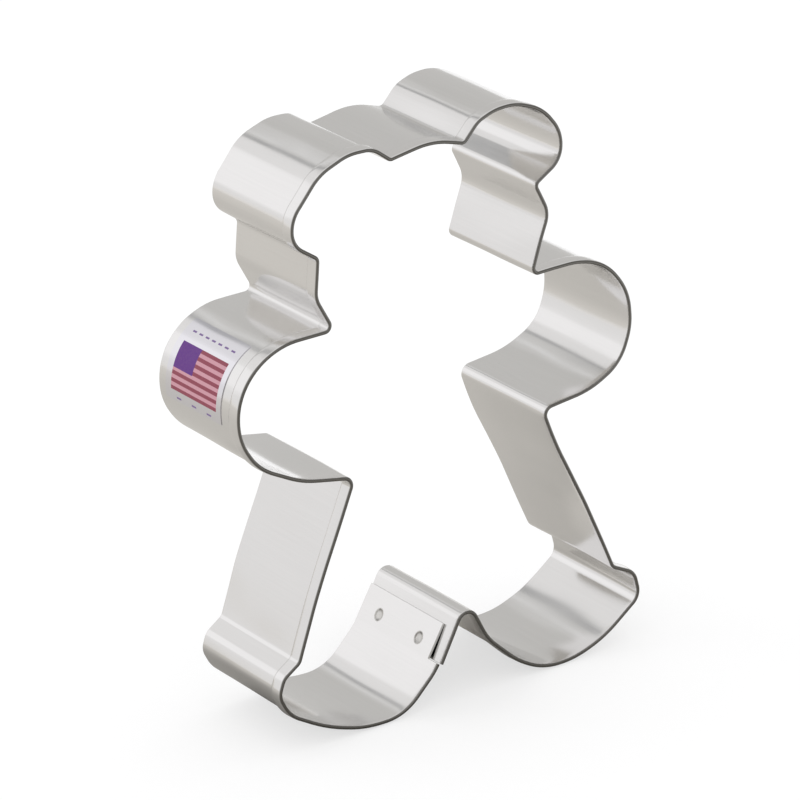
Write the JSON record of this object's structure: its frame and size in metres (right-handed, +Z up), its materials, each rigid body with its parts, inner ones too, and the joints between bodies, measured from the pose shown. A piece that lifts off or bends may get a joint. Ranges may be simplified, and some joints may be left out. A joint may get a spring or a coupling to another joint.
{
  "type": "cookie cutter",
  "caption": "Bear shaped cookie cutter bent from one hemmed tinplate strip, lapped and spot welded on one leg, with a small film label on one arm.",
  "frame": {"origin": "Middle of the cutter's box at the level of its soles, halfway between rim and cutting edge.", "axes": "+Z up from the feet to the ears; -Y towards the hemmed rim, which faces the viewer; +Y towards the cutting edge; +X to the viewer's right."},
  "size_m": [0.0676, 0.0226, 0.0887],
  "materials": {
    "tinplate": "satin tinplate with faint drawn lines across the strip",
    "weld_metal": "pressed and slightly darkened by the weld",
    "label_film": "clear-coated printed film"
  },
  "bodies": {
    "root": {"cutter_band": "tinplate", "front_spot_weld": "weld_metal", "rear_spot_weld": "weld_metal", "label_film": "label_film"}
  },
  "joints": []
}
